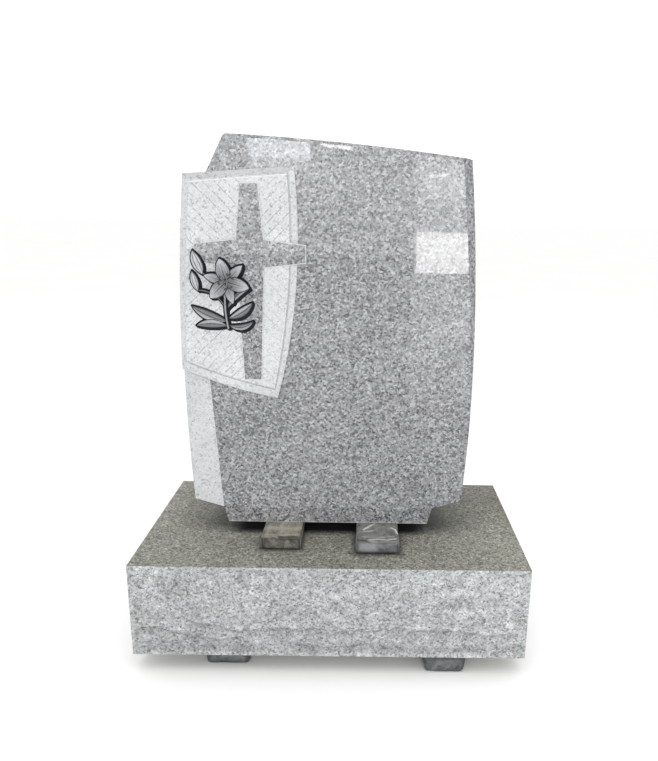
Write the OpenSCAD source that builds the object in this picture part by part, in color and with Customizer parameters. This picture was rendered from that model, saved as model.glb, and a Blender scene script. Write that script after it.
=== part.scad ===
// Upright granite headstone: a shaped tablet with a raised shield, cross and
// carved lily spray, set on a split-faced base. The base lies on two wrapped
// timber bearers and the tablet stands on two wrapped setting blocks.
// Millimetres. Front is -Y, up is +Z, origin on the floor at the middle.

/* [Base] */
// Length of the base along X
base_w = 914; // [860:1:960]
// Depth of the base along Y
base_d = 457; // [430:1:500]
// Height of the base
base_h = 229; // [180:1:260]

/* [Bearers] */
// Height of the timber bearers under the base
bearer_h = 44; // [36:1:60]
// Width of the left bearer
bearer_left_w = 102; // [70:1:120]
// Width of the right bearer
bearer_right_w = 96; // [70:1:120]
// Distance of the left bearer's middle from the middle of the base
bearer_left_x = 241; // [150:1:380]
// Distance of the right bearer's middle from the middle of the base
bearer_right_x = 270; // [150:1:380]
// How far the left bearer's end lies behind the base's front
bearer_left_in = 22; // [2:1:40]
// How far the right bearer's end lies behind the base's front
bearer_right_in = 3; // [2:1:40]
// How far both bearers stop short of the base's back
bearer_back_in = 14; // [2:1:40]
// Radius of the bearers' wrapped edges
bearer_r = 7; // [2:1:14]

/* [Setting blocks] */
// Height of the blocks between base and tablet
block_h = 33; // [20:1:45]
// Width of the left block
block_left_w = 90; // [60:1:110]
// Width of the right block
block_right_w = 98; // [60:1:110]
// Distance of the left block's middle from the middle of the base
block_left_x = 121; // [70:1:150]
// Distance of the right block's middle from the middle of the base
block_right_x = 108; // [70:1:150]
// Length of both blocks along Y
block_l = 292; // [200:1:330]
// How far the left block's end lies behind the base's front
block_left_in = 80; // [60:1:95]
// How far the right block's end lies behind the base's front
block_right_in = 65; // [60:1:95]
// Radius of the blocks' wrapped edges
block_r = 6; // [2:1:10]

/* [Tablet] */
// Thickness of the tablet along Y
tablet_t = 150; // [110:1:180]
// Half of the tablet's greatest width
half_w = 338; // [330:1:345]
// Height above the tablet's foot where it is widest
widest_z = 395; // [370:1:420]
// Radius of the two bowed sides
side_r = 4250; // [3800:10:4800]
// Place of the top left peak across the tablet
peak_x = -222; // [-232:1:-212]
// Height of the top left peak
peak_z = 906; // [895:1:915]
// Height of the top right corner
corner_z = 863; // [845:1:875]
// Rise of the bowed top edge above its chord
top_sag = 6; // [3:0.5:10]
// Lean of the left slanted cut from upright, in degrees
slant_deg = 27; // [24:0.5:30]
// Width of the chamfer along the top edge
top_chamfer = 7; // [3:0.5:12]
// Radius of the curved line where the right chamfer starts
right_line_r = 6500; // [6000:10:7000]
// Half of the foot's width at the bottom
foot_half = 244; // [225:1:252]
// Half of the foot's width at the top of the corner notches
notch_half = 255; // [253:1:262]
// Height of the foot where the notches start
notch_z = 42; // [30:1:55]
// How much lower the left notch is cut than the right one
notch_drop = 3.5; // [0:0.5:8]
// Depth of the tooled margin at the left below the polished face
margin_cut = 2; // [1:0.5:6]
// Slope of the margin's tapered outer chamfer, as width for each unit of depth
margin_slope = 1.7; // [1:0.1:3]

/* [Shield] */
// Height of the shield's upright outer edge
shield_edge = 4; // [2:0.5:8]
// Height at the top of the shield's bevel
shield_bevel = 12; // [9:0.5:16]
// Height of the tooled field above its bevel
field_step = 3; // [1:0.5:6]

/* [Cross] */
// Height of the cross above the field
cross_step = 3; // [1:0.5:6]
// Half of each arm's width at the crossing
cross_in = 31; // [26:0.5:36]
// Half of each arm's width at its end
cross_out = 20; // [14:0.5:25]
// Length of the upright above the crossing's middle
cross_up = 150; // [130:1:155]
// Length of the upright below the crossing's middle
cross_down = 287; // [260:1:292]
// Length of each side arm from the crossing's middle
cross_side = 123; // [110:1:126]

/* [Lily spray] */
// Length of the open flower's petals
petal_l = 53; // [42:0.5:54]
// Height of the flower above the field
flower_rise = 15; // [8:0.5:18]
// Height of the leaves above the field
leaf_rise = 9; // [5:0.5:12]

/* [Hidden] */

fine = 1440;
base_z = bearer_h;
top_z = base_z + base_h;
foot_z = top_z + block_h;
tablet_x = -13;
field_h = shield_bevel + field_step;
cross_h = field_h + cross_step;

// Points of a round arc from p to q, bowed by s to the left of the way
// there, without q itself.
function arc(p, q, s, n = 20) =
    let (d = q - p, l = norm(d), u = d / l, m = [-u[1], u[0]],
         r = (l * l / 4 + s * s) / (2 * s), a = asin(l / 2 / r),
         c = (p + q) / 2 + m * (s - r))
    [for (k = [0:n - 1]) let (t = -a + 2 * a * k / n)
        c + r * (u * sin(t) + m * cos(t))];

// Half width of the bowed tablet at height z.
function side_x(z) = half_w - side_r
    + sqrt(side_r * side_r - (z - widest_z) * (z - widest_z));

// Corners of the shield: its outer edge and its field.
s_tl = [-side_x(821.5), 821.5];
s_tr = [-76, 841];
s_br = [-118.8, 320.4];
s_bl = [-side_x(387), 387];
f_tl = [-299, 805.5];
f_tr = [-90, 824];
f_br = [-124, 347.6];
f_bl = [-323.5, 410];
shield_pts = concat([s_tl], arc(s_tr, s_br, 24), arc(s_br, s_bl, 6.6),
                    arc(s_bl, s_tl, 5.57));
field_pts = concat([f_tl], arc(f_tr, f_br, 17.5), arc(f_br, f_bl, 5),
                   arc(f_bl, f_tl, 5));

// Radius of the curved line where the margin's chamfer starts.
margin_line_r = 6500;

// Crossing of the two arms.
cross_c = [-172.5, 654.5];
cross_pts = [for (p = [
    [-cross_in, cross_in], [-cross_out, cross_up], [cross_out, cross_up],
    [cross_in, cross_in], [cross_side, cross_out], [cross_side, -cross_out],
    [cross_in, -cross_in], [cross_out, -cross_down], [-cross_out, -cross_down],
    [-cross_in, -cross_in], [-cross_side, -cross_out], [-cross_side, cross_out]])
    cross_c + p];

// Middle of the lily spray and of its open flower.
spray_c = [-238.5, 573.5];
flower_c = [13, 19];

// Bowed top edge: middle of its chord, its tilt and its radius.
corner_x = side_x(corner_z);
top_d = [corner_x - peak_x, corner_z - peak_z];
top_l = norm(top_d);
top_r = (top_l * top_l / 4 + top_sag * top_sag) / (2 * top_sag);
top_n = [-top_d[1], top_d[0]] / top_l;
top_c = [(peak_x + corner_x) / 2, (peak_z + corner_z) / 2]
    + top_n * (top_sag - top_r);

// Slanted cut: a point on it, its upward direction, and its length from there
// down to the line of the shield's top edge.
slant_p = [peak_x - 3.5, peak_z];
slant_u = [sin(slant_deg), cos(slant_deg)];
edge_u = (s_tr - s_tl) / norm(s_tr - s_tl);
slant_l = ((slant_p - s_tl)[0] * edge_u[1] - (slant_p - s_tl)[1] * edge_u[0])
    / (slant_u[0] * edge_u[1] - slant_u[1] * edge_u[0]);

// Round slab across the tablet's thickness, wider by grow at the back.
module disc(x, z, r, grow = 0)
    translate([x, tablet_t / 2, z]) rotate([90, 0, 0])
        cylinder(h = tablet_t, r1 = r + grow, r2 = r, $fn = fine);

// Flat shape standing off the tablet's front from height a to height b.
module front(a, b)
    translate([tablet_x, -tablet_t / 2 - a, foot_z]) rotate([90, 0, 0])
        linear_extrude(height = b - a) children();

// Flat shape through the tablet's whole thickness and a little more.
module through(extra = 0)
    translate([0, tablet_t / 2 + extra, 0]) rotate([90, 0, 0])
        linear_extrude(height = tablet_t + 2 * extra) children();

// Timber wrapped in film: a bar along Y with rounded edges.
module wrapped_bar(w, h, l, r)
    rotate([90, 0, 0]) translate([0, 0, -l])
        linear_extrude(height = l) union() {
            translate([-w / 2 + r, 0]) square([w - 2 * r, h]);
            translate([-w / 2, r]) square([w, h - 2 * r]);
            for (x = [-w / 2 + r, w / 2 - r], z = [r, h - r])
                translate([x, z]) circle(r = r, $fn = 64);
        }

module base_block()
    color([0.68, 0.69, 0.69])
        translate([-base_w / 2, -base_d / 2, base_z]) cube([base_w, base_d, base_h]);

module bearer_left()
    color([0.22, 0.22, 0.23])
        translate([-bearer_left_x, -base_d / 2 + bearer_left_in, 0])
            wrapped_bar(bearer_left_w, bearer_h,
                        base_d - bearer_left_in - bearer_back_in, bearer_r);

module bearer_right()
    color([0.22, 0.22, 0.23])
        translate([bearer_right_x, -base_d / 2 + bearer_right_in, 0])
            wrapped_bar(bearer_right_w, bearer_h,
                        base_d - bearer_right_in - bearer_back_in, bearer_r);

module setting_block_left()
    color([0.62, 0.52, 0.40])
        translate([-block_left_x, -base_d / 2 + block_left_in, top_z])
            wrapped_bar(block_left_w, block_h, block_l, block_r);

module setting_block_right()
    color([0.55, 0.55, 0.56])
        translate([block_right_x, -base_d / 2 + block_right_in, top_z])
            wrapped_bar(block_right_w, block_h, block_l, block_r);

// Outline of the tooled margin at the tablet's lower left.
module margin_2d()
    difference() {
        polygon([[-notch_half, notch_z - notch_drop], [-275.2, 336],
                 [-281.2, 416], [-half_w - 30, 416],
                 [-half_w - 30, notch_z - notch_drop]]);
        polygon(concat(arc(s_br, s_bl, 6.6), [s_bl, s_bl + [-60, 24],
                       [-400, 900], [-100, 900]]));
    }

module tablet()
    color([0.63, 0.63, 0.64])
    translate([tablet_x, 0, foot_z])
    difference() {
        intersection() {
            disc(half_w - side_r, widest_z, side_r);
            disc(side_r - half_w, widest_z, side_r);
            disc(top_c[0], top_c[1], top_r);
            disc(top_c[0], top_c[1], top_r - top_chamfer, tablet_t);
            disc(338.4 - right_line_r, 63, right_line_r, tablet_t);
            through() translate([-400, 0]) square([800, 1000]);
        }
        // slanted cut at the top left, down to the shield's shoulder
        through(1) polygon([slant_p + slant_u * 200, slant_p - slant_u * slant_l,
            s_tl - (s_tr - s_tl) * 0.5, [-440, 1090]]);
        // notches that leave the narrower foot
        for (side = [-1, 1]) through(1) polygon([
            [side * (foot_half - 2.6), -10],
            [side * notch_half, notch_z + min(side, 0) * notch_drop],
            [side * 400, notch_z + min(side, 0) * notch_drop + 43],
            [side * 400, -10]]);
        // tooled margin
        translate([0, -tablet_t / 2 + margin_cut, 0]) rotate([90, 0, 0])
            linear_extrude(height = margin_cut + 10) margin_2d();
        // tapered chamfer along the margin's outer edge
        difference() {
            translate([0, -tablet_t / 2 + 30, 0]) rotate([90, 0, 0])
                linear_extrude(height = 40) margin_2d();
            disc(margin_line_r - 325, 200, margin_line_r - margin_cut * margin_slope,
                 tablet_t * margin_slope);
        }
    }

module shield_solid()
    hull() {
        front(0, shield_edge) polygon(shield_pts);
        front(shield_bevel - 0.5, shield_bevel) polygon(field_pts);
    }

module shield_border()
    color([0.86, 0.87, 0.88]) shield_solid();

module shield_field()
    color([0.90, 0.91, 0.91]) front(shield_bevel, field_h) polygon(field_pts);

module cross()
    color([0.64, 0.64, 0.65])
        union() {
            // the part that lies on the field
            intersection() {
                front(field_h, cross_h) polygon(cross_pts);
                front(field_h, cross_h) polygon(field_pts);
            }
            // the right arm's end, which runs down to the polished face
            difference() {
                front(0, cross_h) polygon(cross_pts);
                front(-1, cross_h + 1) polygon(field_pts);
                shield_solid();
            }
        }

// Pointed leaf from p to q, bowed by s1 on one side and s2 on the other.
module leaf(p, q, s1, s2)
    polygon(concat(arc(p, q, s1, 16), arc(q, p, s2, 16)));

// Stalk of width w along a bowed line from p to q.
module stalk(p, q, s, w)
    let (n = [-(q - p)[1], (q - p)[0]] / norm(q - p) * w / 2)
    polygon(concat(arc(p + n, q + n, s, 16), [q + n],
                   arc(q - n, p - n, -s, 16), [p - n]));

// Open flower: three narrow sepals and three broad petals about its throat.
module flower_2d()
    translate(spray_c + flower_c)
        for (k = [0:5]) rotate(105 + 60 * k)
            leaf([-6, 0], [petal_l, 0], k % 2 == 0 ? 16 : 11.5,
                 k % 2 == 0 ? 16 : 11.5);

module bud_2d()
    translate(spray_c) {
        leaf([-38, 33], [-60, 87], 14, 10);
        leaf([-50, -4], [-63, 42], 10, 8);
    }

module leaves_2d()
    translate(spray_c) {
        stalk([14, -87], [12, 20], 5, 7);
        stalk([11, -30], [-38, 36], -8, 5);
        stalk([11, -48], [-50, -1], -13, 4.5);
        leaf([13, -70], [-68, -36], 17, 5);
        leaf([13, -82], [-60, -82], 5, 16);
        leaf([14, -78], [71, -68], -3, 18);
        leaf([13, -64], [70, -26], 4, 16);
        leaf([12, -44], [66, 4], 16, -2);
    }

// Relief on the field, let down over the cross where it lies on it.
module relief(h)
    difference() {
        front(field_h, field_h + h) children();
        front(field_h - 1, cross_h) polygon(cross_pts);
    }

module lily_flower()
    color([0.72, 0.73, 0.74]) relief(flower_rise) flower_2d();

module lily_bud()
    color([0.70, 0.71, 0.72]) relief(flower_rise - 3)
        difference() { bud_2d(); flower_2d(); }

module lily_leaves()
    color([0.66, 0.67, 0.68]) relief(leaf_rise)
        difference() { leaves_2d(); bud_2d(); flower_2d(); }

base_block();
bearer_left();
bearer_right();
setting_block_left();
setting_block_right();
tablet();
shield_border();
shield_field();
cross();
lily_flower();
lily_bud();
lily_leaves();
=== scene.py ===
import math

import bmesh
import bpy
import numpy as np
from mathutils import Matrix, Vector


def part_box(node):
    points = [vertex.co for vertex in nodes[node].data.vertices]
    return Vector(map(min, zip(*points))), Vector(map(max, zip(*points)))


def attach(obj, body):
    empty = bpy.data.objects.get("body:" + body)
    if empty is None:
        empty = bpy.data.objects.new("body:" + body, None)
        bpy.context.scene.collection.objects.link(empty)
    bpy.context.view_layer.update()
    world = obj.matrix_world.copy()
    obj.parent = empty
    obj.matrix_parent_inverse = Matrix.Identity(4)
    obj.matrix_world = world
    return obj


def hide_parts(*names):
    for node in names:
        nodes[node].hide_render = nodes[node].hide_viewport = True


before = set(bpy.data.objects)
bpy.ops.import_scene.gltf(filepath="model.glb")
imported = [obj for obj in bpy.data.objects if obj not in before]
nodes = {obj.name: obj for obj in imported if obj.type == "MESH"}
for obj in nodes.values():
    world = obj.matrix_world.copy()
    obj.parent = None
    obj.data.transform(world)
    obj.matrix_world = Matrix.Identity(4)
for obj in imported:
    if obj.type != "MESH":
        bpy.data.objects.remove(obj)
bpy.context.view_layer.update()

MM = 0.001
scene = bpy.context.scene

# ---------------------------------------------------------------- camera
cam_data = bpy.data.cameras.new("camera")
cam_data.sensor_width = 36.0
cam_data.lens = 627.4545 / 761.0 * 36.0
cam_data.shift_x = -42.0 / 761.0
cam_data.shift_y = -15.5 / 761.0
cam_data.clip_end = 200.0
cam = bpy.data.objects.new("camera", cam_data)
scene.collection.objects.link(cam)
right = Vector((0.999789, -0.007341, 0.019193))
down = Vector((0.016886, -0.238794, -0.970923))
ahead = Vector((0.011711, 0.971042, -0.238620))
cam.matrix_world = Matrix.Translation((0.06816, -1.49037, 1.05663)) @ Matrix(
    (
        (right.x, -down.x, -ahead.x, 0),
        (right.y, -down.y, -ahead.y, 0),
        (right.z, -down.z, -ahead.z, 0),
        (0, 0, 0, 1),
    )
)
scene.camera = cam
scene.view_settings.view_transform = "Standard"

# ---------------------------------------------------------------- node helpers


def new_mat(name):
    m = bpy.data.materials.new(name)
    m.use_nodes = True
    m.node_tree.nodes.clear()
    return m, m.node_tree


def N(nt, kind, ins=None, **props):
    n = nt.nodes.new(kind)
    for k, v in props.items():
        setattr(n, k, v)
    for k, v in (ins or {}).items():
        s = n.inputs[k]
        if isinstance(v, bpy.types.NodeSocket):
            nt.links.new(v, s)
        else:
            s.default_value = v
    return n


def M(nt, op, a, b=0.0, c=0.0, clamp=False):
    n = nt.nodes.new("ShaderNodeMath")
    n.operation = op
    n.use_clamp = clamp
    for i, v in enumerate((a, b, c)):
        if isinstance(v, bpy.types.NodeSocket):
            nt.links.new(v, n.inputs[i])
        else:
            n.inputs[i].default_value = v
    return n.outputs[0]


def remap(nt, v, lo, hi, a=0.0, b=1.0, smooth=False):
    n = N(nt, "ShaderNodeMapRange", {"From Min": lo, "From Max": hi, "To Min": a, "To Max": b})
    n.interpolation_type = "SMOOTHSTEP" if smooth else "LINEAR"
    nt.links.new(v, n.inputs["Value"])
    return n.outputs[0]


def mixc(nt, f, a, b, how="MIX"):
    n = nt.nodes.new("ShaderNodeMix")
    n.data_type = "RGBA"
    n.blend_type = how
    for i, v in ((0, f), (6, a), (7, b)):
        if isinstance(v, bpy.types.NodeSocket):
            nt.links.new(v, n.inputs[i])
        elif i == 0:
            n.inputs[i].default_value = v
        else:
            n.inputs[i].default_value = (*v, 1.0) if len(v) == 3 else v
    return n.outputs[2]


def mixf(nt, f, a, b):
    n = nt.nodes.new("ShaderNodeMix")
    n.data_type = "FLOAT"
    for i, v in ((0, f), (2, a), (3, b)):
        if isinstance(v, bpy.types.NodeSocket):
            nt.links.new(v, n.inputs[i])
        else:
            n.inputs[i].default_value = v
    return n.outputs[0]


def ramp(nt, v, stops, how="LINEAR"):
    n = nt.nodes.new("ShaderNodeValToRGB")
    n.color_ramp.interpolation = how
    el = n.color_ramp.elements
    while len(el) > 1:
        el.remove(el[-1])
    for i, (p, c) in enumerate(stops):
        e = el[0] if i == 0 else el.new(p)
        e.position = p
        c = (c, c, c) if isinstance(c, (int, float)) else c
        e.color = (*c, 1.0)
    nt.links.new(v, n.inputs[0])
    return n.outputs[0]


def coords(nt):
    return N(nt, "ShaderNodeTexCoord").outputs["Object"]


def xyz(nt, v):
    n = N(nt, "ShaderNodeSeparateXYZ", {0: v})
    return n.outputs[0], n.outputs[1], n.outputs[2]


def noise(nt, v, size_mm, detail=2.0, rough=0.5, dist=0.0):
    return N(nt, "ShaderNodeTexNoise", {"Vector": v, "Scale": 1000.0 / size_mm, "Detail": detail, "Roughness": rough, "Distortion": dist})


def vadd(nt, a, b, scale=1.0):
    s = N(nt, "ShaderNodeVectorMath", {0: b, "Scale": scale}, operation="SCALE").outputs[0]
    return N(nt, "ShaderNodeVectorMath", {0: a, 1: s}, operation="ADD").outputs[0]


def grains(nt, co, size_mm, warp=0.55, offset=0.0):
    """A random value for each irregular mineral grain."""
    n = noise(nt, co, size_mm * 1.3, 1.0)
    c = N(nt, "ShaderNodeVectorMath", {0: n.outputs["Color"], 1: (0.5 - offset, 0.5 + offset, 0.5)}, operation="SUBTRACT").outputs[0]
    v = vadd(nt, co, c, size_mm * MM * warp * 2.2)
    vor = N(nt, "ShaderNodeTexVoronoi", {"Vector": v, "Scale": 1000.0 / size_mm, "Randomness": 1.0}, feature="F1", voronoi_dimensions="3D")
    return N(nt, "ShaderNodeSeparateColor", {0: vor.outputs["Color"]}).outputs[0]


def principled(nt, **ins):
    b = nt.nodes.new("ShaderNodeBsdfPrincipled")
    for k, v in ins.items():
        s = b.inputs[k.replace("_", " ")]
        if isinstance(v, bpy.types.NodeSocket):
            nt.links.new(v, s)
        elif isinstance(v, tuple) and len(v) == 3:
            s.default_value = (*v, 1.0)
        else:
            s.default_value = v
    o = nt.nodes.new("ShaderNodeOutputMaterial")
    nt.links.new(b.outputs[0], o.inputs[0])
    return b


def bump(nt, h, strength, dist_mm, normal=None):
    ins = {"Height": h, "Strength": strength, "Distance": dist_mm * MM}
    n = N(nt, "ShaderNodeBump", ins)
    if normal is not None:
        nt.links.new(normal, n.inputs["Normal"])
    return n.outputs[0]


def granite_colour(nt, co, stops, size=6.0, fine=2.8, mixing=0.3, tint=(1, 1, 1)):
    """Speckled grey of a medium grained granite."""
    a = ramp(nt, grains(nt, co, size), stops)
    b = ramp(nt, grains(nt, co, fine, offset=0.17), stops)
    c = mixc(nt, mixing, a, b)
    big = remap(nt, noise(nt, co, 120, 2.0).outputs["Fac"], 0.3, 0.7, 0.93, 1.07)
    v = N(nt, "ShaderNodeCombineColor", {0: big, 1: big, 2: big}).outputs[0]
    c = mixc(nt, 1.0, c, v, "MULTIPLY")
    return mixc(nt, 1.0, c, tint, "MULTIPLY")


POLISHED = [(0.0, 0.03), (0.14, 0.075), (0.30, 0.20), (0.55, 0.30), (0.80, 0.40), (1.0, 0.64)]
AXED = [(0.0, 0.26), (0.07, 0.49), (0.18, 0.66), (0.6, 0.745), (1.0, 0.85)]
COOL = (0.982, 1.0, 1.018)
LEVEL_POLISHED, LEVEL_AXED, LEVEL_SPLIT, LEVEL_SAWN = 0.735, 0.69, 0.785, 1.02


def scaled(stops, k):
    return [(p, v * k) for p, v in stops]


def axed(nt, co, level=1.0):
    c = granite_colour(nt, co, scaled(AXED, level * LEVEL_AXED), 3.6, 2.0, 0.4, COOL)
    f = noise(nt, co, 2.2, 2.0).outputs["Fac"]
    return c, f


def polished(nt, co):
    return granite_colour(nt, co, scaled(POLISHED, LEVEL_POLISHED), 4.3, 2.3, 0.3, (0.983, 0.993, 1.0275))


def attr(nt, name):
    return N(nt, "ShaderNodeAttribute", attribute_name=name).outputs["Fac"]


# polished granite with the tooled margin at the tablet's lower left, a painted shadow on the margin under the shield's
# bottom edge and a painted highlight along the face's bottom arris
m_tablet, nt = new_mat("polished_granite_tablet")
co = coords(nt)
x, y, z = xyz(nt, co)
pol = polished(nt, co)
white, wf = axed(nt, co, 1.01)
mx = M(nt, "MULTIPLY_ADD", x, 1000.0, 13.0)
mz = M(nt, "MULTIPLY_ADD", z, 1000.0, -306.0)
bow_ = M(nt, "POWER", M(nt, "ABSOLUTE", M(nt, "DIVIDE", M(nt, "ADD", mx, 228.4), 109.6)), 2.0)
# painted shadow: the margin is darkened within 5 mm below the shield's bottom edge, rim being the height below that
# edge in mm
rim = M(nt, "MULTIPLY_ADD", M(nt, "ADD", mx, 338.0), -0.3038, 387.0)
rim = M(nt, "SUBTRACT", M(nt, "SUBTRACT", rim, M(nt, "MULTIPLY", M(nt, "SUBTRACT", 1.0, bow_), 6.6)), mz)
white = mixc(nt, remap(nt, rim, 1.0, 5.0, 0.75, 0.0, True), white, (0.16, 0.163, 0.168))
nrm = N(nt, "ShaderNodeNewGeometry").outputs["Normal"]
nx, ny, nz = xyz(nt, nrm)
line = M(nt, "MULTIPLY_ADD", M(nt, "SUBTRACT", z, 0.3445), -0.0202 / 0.2975, -0.268)
in_margin = M(nt, "MULTIPLY", M(nt, "LESS_THAN", x, M(nt, "ADD", line, 0.0002)), M(nt, "LESS_THAN", ny, -0.3))
in_margin = M(nt, "MULTIPLY", in_margin, M(nt, "LESS_THAN", z, 0.72))
# a dark inclusion low on the face
off = N(nt, "ShaderNodeVectorMath", {0: co, 1: (0.0583, -0.0750, 0.4775)}, operation="SUBTRACT").outputs[0]
off = N(nt, "ShaderNodeVectorMath", {0: off, 1: (0.55, 1.0, 1.0)}, operation="MULTIPLY").outputs[0]
off = N(nt, "ShaderNodeVectorMath", {0: off}, operation="LENGTH").outputs["Value"]
off = M(nt, "ADD", off, M(nt, "MULTIPLY", noise(nt, co, 9, 1.0).outputs["Fac"], 0.005))
pol = mixc(nt, remap(nt, off, 0.006, 0.011, 0.6, 0.0, True), pol, (0.10, 0.10, 0.105))
# painted highlight: a light line along the bottom arris of the face
pol = mixc(nt, M(nt, "MULTIPLY", remap(nt, z, 0.3062, 0.3088, 0.55, 0.0), M(nt, "LESS_THAN", ny, -0.3)), pol, (0.52, 0.525, 0.535))
col = mixc(nt, in_margin, pol, white)
rough = mixf(nt, in_margin, 0.025, 0.85)
bm = bump(nt, wf, M(nt, "MULTIPLY", in_margin, 0.5), 0.8)
principled(nt, Base_Color=col, Roughness=rough, Normal=bm, IOR=1.5)

m_polished, nt = new_mat("polished_granite")
co = coords(nt)
big = noise(nt, co, 150, 1.0).outputs["Fac"]
principled(nt, Base_Color=polished(nt, co), Roughness=remap(nt, big, 0.3, 0.7, 0.022, 0.03), IOR=1.5)

# rough white arris round the cross
m_arris, nt = new_mat("tooled_arris")
co = coords(nt)
white, wf = axed(nt, co, 1.12)
principled(nt, Base_Color=white, Roughness=0.8, Normal=bump(nt, wf, 0.4, 0.6))

# pale tooled border of the shield, with painted shade in the groove at its inner edge and on the bevels that face up or
# left
m_border, nt = new_mat("tooled_border")
co = coords(nt)
white, wf = axed(nt, co, 1.05)
nrm = N(nt, "ShaderNodeNewGeometry").outputs["Normal"]
nx, ny, nz = xyz(nt, nrm)
# painted shade: bevels that face up or face left are darkened
up = remap(nt, nz, 0.1, 0.4, 1.0, 0.78)
up = M(nt, "MULTIPLY", up, remap(nt, nx, -0.35, -0.1, 0.92, 1.0))
v = N(nt, "ShaderNodeCombineColor", {0: up, 1: up, 2: up}).outputs[0]
c = mixc(nt, 1.0, white, v, "MULTIPLY")
# painted shade in the groove at the bevel's inner edge, weighted per side: strongest at the bottom, none at the top
d = M(nt, "MULTIPLY", attr(nt, "groove_shade"), remap(nt, noise(nt, co, 14, 2.0).outputs["Fac"], 0.3, 0.6, 0.5, 1.0))
c = mixc(nt, M(nt, "MULTIPLY", d, 0.38), c, (0.24, 0.245, 0.25))
principled(nt, Base_Color=c, Roughness=0.8, Normal=bump(nt, wf, 0.4, 0.8))

# pale field with chisel lines that run towards the cross
m_field, nt = new_mat("tooled_field")
co = coords(nt)
x, y, z = xyz(nt, co)
white, wf = axed(nt, co, 1.04)
dx = M(nt, "MULTIPLY", M(nt, "ADD", x, 0.1855), 1000.0)
dz = M(nt, "MULTIPLY", M(nt, "SUBTRACT", z, 0.9605), 1000.0)
s1 = M(nt, "MULTIPLY", M(nt, "ADD", dx, dz), 0.7071)
s2 = M(nt, "MULTIPLY", M(nt, "SUBTRACT", dx, dz), 0.7071)
opp = M(nt, "LESS_THAN", M(nt, "MULTIPLY", dx, dz), 0.0)
s = mixf(nt, opp, s2, s1)
wob = M(nt, "MULTIPLY", M(nt, "SUBTRACT", noise(nt, co, 60, 1.0).outputs["Fac"], 0.5), 8.0)
t = M(nt, "FRACT", M(nt, "DIVIDE", M(nt, "ADD", M(nt, "ADD", s, wob), 1009.0), 18.5))
gap = M(nt, "MULTIPLY", M(nt, "ABSOLUTE", M(nt, "SUBTRACT", t, 0.5)), 18.5)
dots = remap(nt, noise(nt, co, 6.0, 2.0).outputs["Fac"], 0.36, 0.54)
longer = remap(nt, noise(nt, co, 45.0, 1.0).outputs["Fac"], 0.30, 0.50)
cut = M(nt, "MULTIPLY", remap(nt, gap, 0.4, 1.3, 1.0, 0.0, True), M(nt, "MULTIPLY", dots, longer))
low_right = M(nt, "MULTIPLY", M(nt, "GREATER_THAN", dx, 0.0), M(nt, "LESS_THAN", dz, 0.0))
cut = M(nt, "MULTIPLY", cut, M(nt, "MULTIPLY_ADD", low_right, -0.45, 1.0))
col = mixc(nt, M(nt, "MULTIPLY", cut, 0.85), white, (0.24, 0.245, 0.255))
# painted highlight: the arris along the field's top is painted lighter
tip = M(nt, "SUBTRACT", M(nt, "MULTIPLY_ADD", M(nt, "ADD", x, 0.312), 18.5 / 209.0, 1.1115), z)
col = mixc(nt, remap(nt, tip, 0.0008, 0.0026, 0.75, 0.0, True), col, (0.70, 0.71, 0.72))
h = M(nt, "SUBTRACT", M(nt, "MULTIPLY", wf, 0.5), cut)
principled(nt, Base_Color=col, Roughness=0.85, Normal=bump(nt, h, 0.5, 0.9))

# split faces of the base, with painted shade: darker towards the bottom, in hollows and under ledges, and lighter
# towards the right
m_split, nt = new_mat("split_granite")
co = coords(nt)
SPLIT = [(0.0, 0.09), (0.15, 0.26), (0.32, 0.42), (0.6, 0.53), (0.85, 0.64), (1.0, 0.84)]
c = granite_colour(nt, co, scaled(SPLIT, LEVEL_SPLIT), 4.2, 2.3, 0.35, (0.973, 1.003, 1.011))
wash = noise(nt, N(nt, "ShaderNodeMapping", {"Vector": co, "Scale": (1.0, 1.0, 2.0)}).outputs[0], 55, 3.0, 0.6).outputs["Fac"]
lump = remap(nt, noise(nt, co, 24, 2.0, 0.5, 0.6).outputs["Fac"], 0.32, 0.68, 0.88, 1.10)
# the last factor here paints the face darker towards the bottom, as shade
wash = M(nt, "MULTIPLY", M(nt, "MULTIPLY", remap(nt, wash, 0.32, 0.68, 0.86, 1.09), lump), remap(nt, xyz(nt, co)[2], 0.05, 0.25, 0.94, 1.06))
# painted light: the face is lighter towards the right
wash = M(nt, "MULTIPLY", wash, remap(nt, xyz(nt, co)[0], 0.12, 0.45, 0.987, 1.095))
# painted shade in the hollows and under the ledges
wash = M(nt, "MULTIPLY", wash, remap(nt, attr(nt, "hollow"), -0.7, 1.1, 1.10, 0.66))
c = mixc(nt, 1.0, c, N(nt, "ShaderNodeCombineColor", {0: wash, 1: wash, 2: wash}).outputs[0], "MULTIPLY")
hf = noise(nt, co, 4.0, 3.0, 0.6).outputs["Fac"]
g = grains(nt, co, 4.2)
h = M(nt, "ADD", M(nt, "MULTIPLY", hf, 0.8), M(nt, "MULTIPLY", g, 0.5))
principled(nt, Base_Color=c, Roughness=0.7, Normal=bump(nt, h, 0.7, 1.6))

# sawn top of the base, with painted shadow in the gap under the tablet, beside its foot and round the blocks, and
# painted shade towards the back right
m_sawn, nt = new_mat("sawn_granite")
co = coords(nt)
x, y, z = xyz(nt, co)
SAWN = [(0.0, 0.05), (0.15, 0.10), (0.35, 0.19), (0.7, 0.265), (0.88, 0.33), (1.0, 0.50)]
c = granite_colour(nt, co, scaled(SAWN, LEVEL_SAWN), 4.0, 2.4, 0.3, (0.997, 0.995, 0.85))
sm = noise(nt, co, 200, 3.0, 0.6).outputs["Fac"]
c = mixc(nt, remap(nt, sm, 0.45, 0.7, 0.0, 0.18), c, (0.14, 0.135, 0.115))
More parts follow.
